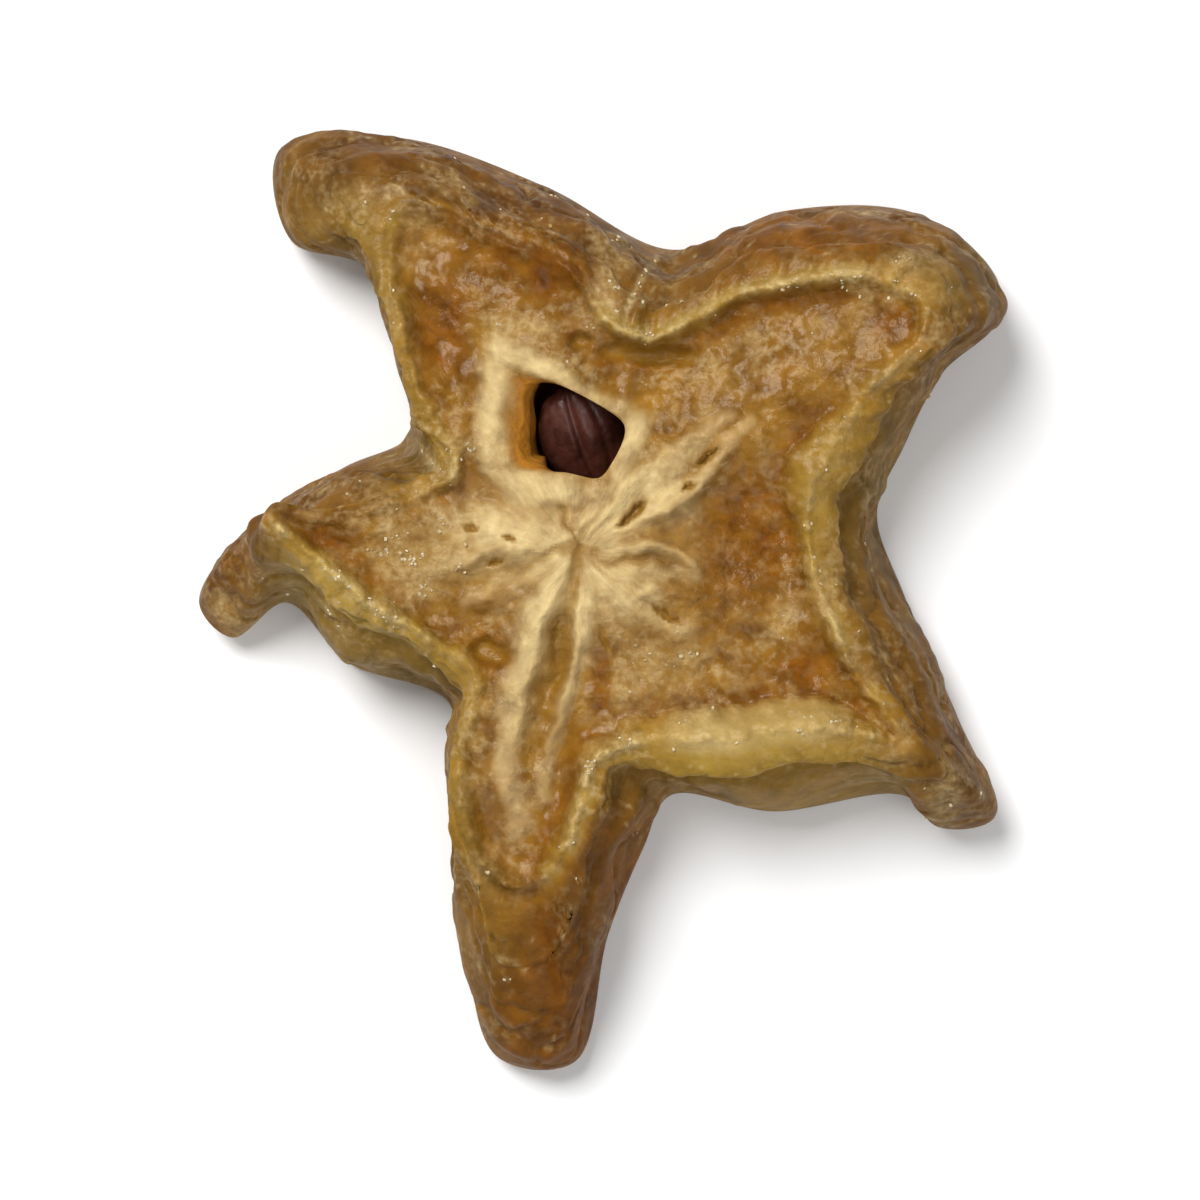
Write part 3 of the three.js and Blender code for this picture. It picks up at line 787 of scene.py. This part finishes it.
def dried_flesh():
    """Translucent amber flesh, olive lip, cream core, brown skin, and a dull sugary bloom over all"""
    flesh_deep = (0.095, 0.030, 0.0015, 1)
    flesh_light = (0.325, 0.160, 0.018, 1)
    amber_deep = (0.065, 0.016, 0.0006, 1)
    amber_light = (0.24, 0.076, 0.0025, 1)
    skin_brown = (0.042, 0.012, 0.0008, 1)
    skin_light = (0.19, 0.076, 0.006, 1)
    olive_yellow = (0.34, 0.222, 0.036, 1)
    cream = (0.66, 0.51, 0.25, 1)
    crust_tan = (0.42, 0.285, 0.110, 1)
    line_pale = (0.55, 0.43, 0.20, 1)
    dust_white = (0.54, 0.40, 0.20, 1)
    groove_dark = (0.25, 0.125, 0.014, 1)
    # Painted light: the colour given to the shaded upper left wall of the open chamber, lightened as if lit.
    lit_amber = (0.40, 0.165, 0.018, 1)
    material, tree, shader, place = new_finish("dried_flesh")
    out = from_core_place(tree, place)
    mottle = grain(tree, place, 0.0013, 6.0)
    rays = grain(tree, out, 0.14, 5.0)
    fibre = grain(tree, out, 0.055, 5.0, 0.35, 0.65)
    blotch = grain(tree, place, 0.0038, 4.0, 0.38, 0.62)
    specks = grain(tree, place, 0.00035, 3.0, 0.38, 0.70)
    flecks = grain(tree, place, 0.00048, 4.0, 0.46, 0.74)
    dust_patch = grain(tree, place, 0.0028, 5.0, 0.42, 0.62)
    flesh_share = sums(tree, "MULTIPLY_ADD", mottle, 0.5, sums(tree, "MULTIPLY", rays, 0.5))
    colour = mixed(tree, flesh_share, flesh_deep, flesh_light)
    skin_share = sums(tree, "MULTIPLY_ADD", mottle, 0.4, sums(tree, "MULTIPLY", blotch, 0.5))
    skin = mixed(tree, skin_share, skin_brown, skin_light)
    colour = mixed(tree, finish_share(tree, "skin"), colour, skin)
    ray_share = sums(tree, "MULTIPLY_ADD", rays, 0.5, 0.5)
    amber_share = sums(tree, "MULTIPLY", finish_share(tree, "amber"), ray_share)
    glow = sums(tree, "MULTIPLY_ADD", fibre, 0.5, sums(tree, "MULTIPLY", mottle, 0.5))
    amber = mixed(tree, glow, amber_deep, amber_light)
    colour = mixed(tree, amber_share, colour, amber)
    olive = sums(tree, "MULTIPLY", finish_share(tree, "olive"), sums(tree, "MULTIPLY_ADD", mottle, 0.35, 0.6))
    colour = mixed(tree, olive, colour, olive_yellow)
    crust = finish_share(tree, "crust")
    bloom = sums(tree, "MULTIPLY", crust, sums(tree, "MULTIPLY_ADD", specks, 0.65, 0.3))
    colour = mixed(tree, bloom, colour, crust_tan)
    line = sums(tree, "MULTIPLY", finish_share(tree, "line"), sums(tree, "MULTIPLY_ADD", specks, 0.6, 0.25))
    colour = mixed(tree, line, colour, line_pale)
    bare_skin = sums(tree, "MULTIPLY_ADD", finish_share(tree, "skin"), -0.3, 1.0)
    clean = sums(tree, "MULTIPLY_ADD", finish_share(tree, "amber"), -0.7, bare_skin)
    dust_cover = sums(tree, "MULTIPLY", dust_patch, 0.58)
    dust = sums(tree, "MULTIPLY", sums(tree, "MULTIPLY", flecks, clean), dust_cover)
    colour = mixed(tree, dust, colour, dust_white)
    pale = finish_share(tree, "pale")
    soft_fibre = sums(tree, "MULTIPLY_ADD", fibre, 0.22, sums(tree, "MULTIPLY", mottle, 0.28))
    cream_share = sums(tree, "MULTIPLY", pale, sums(tree, "ADD", soft_fibre, 0.58))
    colour = mixed(tree, cream_share, colour, cream)
    groove = sums(tree, "MULTIPLY", finish_share(tree, "groove"), 0.7)
    colour = mixed(tree, groove, colour, groove_dark)
    # Painted light: a bright lit amber laid over the shaded upper left wall of the open chamber.
    colour = mixed(tree, finish_share(tree, "painted_wall_light"), colour, lit_amber)
    feed(tree, shader.inputs["Base Color"], colour)
    sugared = sums(tree, "MAXIMUM", bloom, dust)
    leathery = sums(tree, "MULTIPLY", finish_share(tree, "skin"), 0.6)
    dull = sums(tree, "MAXIMUM", sugared, sums(tree, "MAXIMUM", pale, leathery))
    feed(tree, shader.inputs["Roughness"], sums(tree, "MULTIPLY_ADD", dull, 0.4, 0.34))
    feed(tree, shader.inputs["Coat Weight"], sums(tree, "MULTIPLY_ADD", dull, -0.16, 0.16))
    shader.inputs["Specular IOR Level"].default_value = 0.17
    shader.inputs["Specular Tint"].default_value = (1.0, 0.80, 0.50, 1)
    shader.inputs["Coat Tint"].default_value = (1.0, 0.93, 0.75, 1)
    shader.inputs["Coat Roughness"].default_value = 0.16
    bump = tree.nodes.new("ShaderNodeBump")
    bump.inputs["Strength"].default_value = 0.7
    bump.inputs["Distance"].default_value = 0.00014
    ripple = grain(tree, place, 0.0008, 7.0)
    ripple = sums(tree, "MULTIPLY", ripple, sums(tree, "MULTIPLY_ADD", blotch, 0.7, 0.3))
    height = sums(tree, "MULTIPLY_ADD", cream_share, soft_fibre, ripple)
    height = sums(tree, "MULTIPLY_ADD", sugared, 0.6, height)
    feed(tree, bump.inputs["Height"], height)
    feed(tree, shader.inputs["Normal"], bump.outputs["Normal"])
    feed(tree, shader.inputs["Coat Normal"], bump.outputs["Normal"])
    shader.inputs["Subsurface Weight"].default_value = 0.25
    shader.inputs["Subsurface Radius"].default_value = (1.0, 0.55, 0.18)
    shader.inputs["Subsurface Scale"].default_value = 0.0009
    shader.inputs["IOR"].default_value = 1.46
    return material


slice_piece = bpy.data.objects.new("slice_flesh", slice_mesh)
bpy.context.scene.collection.objects.link(slice_piece)
slice_mesh.materials.append(dried_flesh())
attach(slice_piece, "root")
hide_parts("slice")

# Seed: one flat, almond-shaped seed with a ridge along it, dark brown and smooth, dried loose in its
# open chamber, where it leans against the floor and wall.
SEED_LENGTH = 6.0
SEED_WIDTH = 4.9
SEED_THICKNESS = 2.8
SEED_KEEL = 0.35
SEED_FURROW = 0.45
SEED_SIDE_FURROW = 0.16
SEED_TILT = 24
SEED_HEADING = -70
SEED_STATIONS = 64
SEED_SIDES = 96


def seed_points():
    """Rings along the seed's length, in millimetres, flattened, keeled, and furrowed beside the keel"""
    rings = []
    for station in range(SEED_STATIONS):
        turn = np.pi * (station + 0.5) / SEED_STATIONS
        angle = np.linspace(0, 2 * np.pi, SEED_SIDES, endpoint=False)
        fullness = np.sin(turn) ** 0.8
        keel = SEED_KEEL * np.abs(np.sin(angle)) ** 6
        furrow = SEED_FURROW * bell(np.cos(angle) + 0.12, 0.1) * fullness
        furrow += SEED_SIDE_FURROW * bell(np.cos(angle) - 0.42, 0.07) * fullness
        y = np.cos(angle) * fullness * SEED_WIDTH / 2
        z = np.sin(angle) * (fullness * (SEED_THICKNESS / 2 - SEED_KEEL + keel) - furrow)
        x = np.full(SEED_SIDES, -np.cos(turn) * SEED_LENGTH / 2)
        rings.append(np.column_stack((x, y, z)))
    shape = np.array(rings)
    places = shape.reshape(-1, 3)
    swell = 1 + 0.03 * cloud(places, (1.5, 0.6, 0.6), 3, 12.0)
    return places * swell[:, None]


def seed_mesh():
    """The seed's rings, leaned and turned into place, joined and closed at both ends"""
    tilt, turn = np.radians(SEED_TILT), np.radians(SEED_HEADING)
    lean = np.array(((np.cos(tilt), 0, np.sin(tilt)), (0, 1, 0), (-np.sin(tilt), 0, np.cos(tilt))))
    spin = np.array(((np.cos(turn), -np.sin(turn), 0), (np.sin(turn), np.cos(turn), 0), (0, 0, 1)))
    places = seed_points() @ (spin @ lean).T + SEED_CENTRE
    rings = [np.arange(SEED_SIDES) + station * SEED_SIDES for station in range(SEED_STATIONS)]
    faces = np.concatenate([ring_quads(lower, upper) for lower, upper in zip(rings, rings[1:])]).tolist()
    ends = [places[rings[0]].mean(axis=0), places[rings[-1]].mean(axis=0)]
    first, last = len(places), len(places) + 1
    faces += np.column_stack((np.roll(rings[0], -1), rings[0], np.full(SEED_SIDES, first))).tolist()
    faces += np.column_stack((rings[-1], np.roll(rings[-1], -1), np.full(SEED_SIDES, last))).tolist()
    places = np.concatenate((places, ends))
    mesh = bpy.data.meshes.new("seed_coat")
    mesh.from_pydata(((places + core) * MM).tolist(), [], faces)
    mesh.polygons.foreach_set("use_smooth", np.ones(len(faces), dtype=bool))
    mesh.update()
    return mesh


def seed_coat():
    """Nearly black brown seed coat with a plum sheen, fine length-wise lines and a thin dried film"""
    coat_dark = (0.024, 0.005, 0.004, 1)
    coat_light = (0.082, 0.022, 0.015, 1)
    line_brown = (0.12, 0.035, 0.018, 1)
    material, tree, shader, place = new_finish("seed_coat")
    lines = grain(tree, place, 0.0005, 4.0)
    patch = grain(tree, place, 0.0016, 2.0)
    colour = mixed(tree, patch, coat_dark, coat_light)
    colour = mixed(tree, sums(tree, "MULTIPLY", lines, 0.35), colour, line_brown)
    feed(tree, shader.inputs["Base Color"], colour)
    feed(tree, shader.inputs["Roughness"], sums(tree, "MULTIPLY_ADD", lines, 0.25, 0.28))
    bump = tree.nodes.new("ShaderNodeBump")
    bump.inputs["Strength"].default_value = 0.4
    bump.inputs["Distance"].default_value = 0.00006
    feed(tree, bump.inputs["Height"], lines)
    feed(tree, shader.inputs["Normal"], bump.outputs["Normal"])
    return material


seed_piece = bpy.data.objects.new("seed_kernel", seed_mesh())
bpy.context.scene.collection.objects.link(seed_piece)
seed_piece.data.materials.append(seed_coat())
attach(seed_piece, "root")
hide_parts("seed")

# Sugar grains: small clear to white crystals left on the surface when the candied slice dried,
# thickest on the dull patches and along the lip. They are stuck to the slice.
GRAIN_SIZE = 0.00017
GRAIN_DENSITY = 1.6e7
GRAIN_SEED = 11


def grain_tree(material):
    """Scatters little blocks over a surface, by its grain share, and joins them into one mesh"""
    tree = bpy.data.node_groups.new("sugar_grains", "GeometryNodeTree")
    tree.interface.new_socket("Geometry", in_out="INPUT", socket_type="NodeSocketGeometry")
    tree.interface.new_socket("Grain Size", in_out="INPUT", socket_type="NodeSocketFloat")
    tree.interface.new_socket("Density", in_out="INPUT", socket_type="NodeSocketFloat")
    tree.interface.new_socket("Seed", in_out="INPUT", socket_type="NodeSocketInt")
    tree.interface.new_socket("Geometry", in_out="OUTPUT", socket_type="NodeSocketGeometry")
    inlet = tree.nodes.new("NodeGroupInput")
    outlet = tree.nodes.new("NodeGroupOutput")
    share_node = tree.nodes.new("GeometryNodeInputNamedAttribute")
    share_node.data_type = "FLOAT"
    share_node.inputs["Name"].default_value = "sugar"
    density = sums(tree, "MULTIPLY", inlet.outputs["Density"], share_node.outputs["Attribute"])
    scatter = tree.nodes.new("GeometryNodeDistributePointsOnFaces")
    feed(tree, scatter.inputs["Mesh"], inlet.outputs["Geometry"])
    feed(tree, scatter.inputs["Density"], density)
    feed(tree, scatter.inputs["Seed"], inlet.outputs["Seed"])
    block = tree.nodes.new("GeometryNodeMeshCube")
    turn = tree.nodes.new("FunctionNodeRandomValue")
    turn.data_type = "FLOAT_VECTOR"
    turn.inputs["Max"].default_value = (6.28, 6.28, 6.28)
    feed(tree, turn.inputs["Seed"], inlet.outputs["Seed"])
    stretch = tree.nodes.new("FunctionNodeRandomValue")
    stretch.data_type = "FLOAT_VECTOR"
    stretch.inputs["Min"].default_value = (0.3, 0.3, 0.25)
    stretch.inputs["Max"].default_value = (1.4, 1.2, 0.9)
    feed(tree, stretch.inputs["Seed"], inlet.outputs["Seed"])
    scale = tree.nodes.new("ShaderNodeVectorMath")
    scale.operation = "SCALE"
    feed(tree, scale.inputs[0], stretch.outputs[0])
    feed(tree, scale.inputs["Scale"], inlet.outputs["Grain Size"])
    place = tree.nodes.new("GeometryNodeInstanceOnPoints")
    feed(tree, place.inputs["Points"], scatter.outputs["Points"])
    feed(tree, place.inputs["Instance"], block.outputs["Mesh"])
    feed(tree, place.inputs["Rotation"], turn.outputs[0])
    feed(tree, place.inputs["Scale"], scale.outputs[0])
    realize = tree.nodes.new("GeometryNodeRealizeInstances")
    feed(tree, realize.inputs["Geometry"], place.outputs["Instances"])
    dress = tree.nodes.new("GeometryNodeSetMaterial")
    feed(tree, dress.inputs["Geometry"], realize.outputs["Geometry"])
    dress.inputs["Material"].default_value = material
    feed(tree, outlet.inputs[0], dress.outputs["Geometry"])
    return tree


def sugar_finish():
    """Dull white to honey-coloured crystals"""
    honey = (0.36, 0.23, 0.09, 1)
    white = (0.74, 0.63, 0.42, 1)
    material, tree, shader, place = new_finish("sugar")
    tint = grain(tree, place, 0.0008, 3.0)
    feed(tree, shader.inputs["Base Color"], mixed(tree, tint, honey, white))
    feed(tree, shader.inputs["Roughness"], sums(tree, "MULTIPLY_ADD", tint, 0.3, 0.25))
    shader.inputs["Subsurface Weight"].default_value = 0.3
    shader.inputs["Subsurface Radius"].default_value = (1.0, 0.6, 0.3)
    shader.inputs["Subsurface Scale"].default_value = 0.0003
    return material


sugar_share = np.clip(1.5 * crust_share - 0.5, 0, 1) + 0.8 * np.clip(line_share, 0, 1)
sugar_share *= smooth(0.1, 0.6, cloud(points, 0.9, 3, 51.0))
sugar_share[chamber_slots] = 0.0
sugar_share[:face_start] *= np.repeat(smooth(0.06, 0.2, rises), ROUND_COUNT)
sugar_share[under_slots] = 0.0
bed_mesh = slice_mesh.copy()
clipped = np.clip(sugar_share, 0, 1).astype(np.float32)
bed_mesh.attributes.new("sugar", "FLOAT", "POINT").data.foreach_set("value", clipped)
bed = bpy.data.objects.new("sugar_bed", bed_mesh)
bpy.context.scene.collection.objects.link(bed)
sugar_material = sugar_finish()
sugar_tree = grain_tree(sugar_material)
scatter_step = bed.modifiers.new("grains", "NODES")
scatter_step.node_group = sugar_tree
sockets = {item.name: item.identifier for item in sugar_tree.interface.items_tree if item.in_out == "INPUT"}
scatter_step[sockets["Grain Size"]] = GRAIN_SIZE
scatter_step[sockets["Density"]] = GRAIN_DENSITY
scatter_step[sockets["Seed"]] = GRAIN_SEED
sugar_mesh = bpy.data.meshes.new_from_object(bed.evaluated_get(bpy.context.evaluated_depsgraph_get()))
bed.modifiers.remove(scatter_step)
bpy.data.objects.remove(bed)
sugar_mesh.name = "sugar_grains"
sugar_piece = bpy.data.objects.new("sugar_grains", sugar_mesh)
bpy.context.scene.collection.objects.link(sugar_piece)
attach(sugar_piece, "root")
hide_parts("slice")

# Floor, light and camera: a plain pale floor under two large soft lights, seen from straight above
FLOOR_SIZE = 2.0
FRAME_WIDTH = 0.067
LENS = 180
SENSOR = 36
CAMERA_LEAN = 0.02
KEY_PLACE = (-0.26, 0.34, 0.62)
KEY_SIZE = 0.42
KEY_POWER = 6.6
FILL_PLACE = (0.28, -0.36, 0.55)
FILL_SIZE = 0.6
FILL_POWER = 1.9
ROOM_LIGHT = 0.28


def pale_floor():
    """Matt off-white paper with a faint cloudiness"""
    material, tree, shader, place = new_finish("pale_floor")
    tint = mixed(tree, grain(tree, place, 0.02), (0.88, 0.88, 0.88, 1), (0.90, 0.90, 0.90, 1))
    feed(tree, shader.inputs["Base Color"], tint)
    shader.inputs["Roughness"].default_value = 0.9
    return material


half = FLOOR_SIZE / 2
floor_mesh = bpy.data.meshes.new("floor")
floor_corners = [(-half, -half, 0), (half, -half, 0), (half, half, 0), (-half, half, 0)]
floor_mesh.from_pydata(floor_corners, [], [(0, 1, 2, 3)])
floor_mesh.materials.append(pale_floor())
floor = bpy.data.objects.new("floor", floor_mesh)
bpy.context.scene.collection.objects.link(floor)


def soft_light(name, place, size, power):
    """A round area light that faces the slice"""
    light = bpy.data.lights.new(name, "AREA")
    light.shape = "DISK"
    light.size = size
    light.energy = power
    lamp = bpy.data.objects.new(name, light)
    lamp.location = place
    lamp.rotation_euler = (-Vector(place)).to_track_quat("-Z", "Y").to_euler()
    bpy.context.scene.collection.objects.link(lamp)


soft_light("key", KEY_PLACE, KEY_SIZE, KEY_POWER)
soft_light("fill", FILL_PLACE, FILL_SIZE, FILL_POWER)

world = bpy.data.worlds.new("studio")
world.use_nodes = True
world.node_tree.nodes["Background"].inputs["Color"].default_value = (1, 1, 1, 1)
world.node_tree.nodes["Background"].inputs["Strength"].default_value = ROOM_LIGHT
bpy.context.scene.world = world
bpy.context.scene.view_settings.view_transform = "Standard"

camera_data = bpy.data.cameras.new("camera")
camera_data.lens = LENS
camera_data.sensor_width = SENSOR
camera = bpy.data.objects.new("camera", camera_data)
middle_height = SLICE_HEIGHT * MM / 2
distance = FRAME_WIDTH * LENS / SENSOR
camera.location = (0, -CAMERA_LEAN * distance, middle_height + distance)
aim = Vector((0, 0, middle_height)) - camera.location
camera.rotation_euler = aim.to_track_quat("-Z", "Y").to_euler()
bpy.context.scene.collection.objects.link(camera)
bpy.context.scene.camera = camera
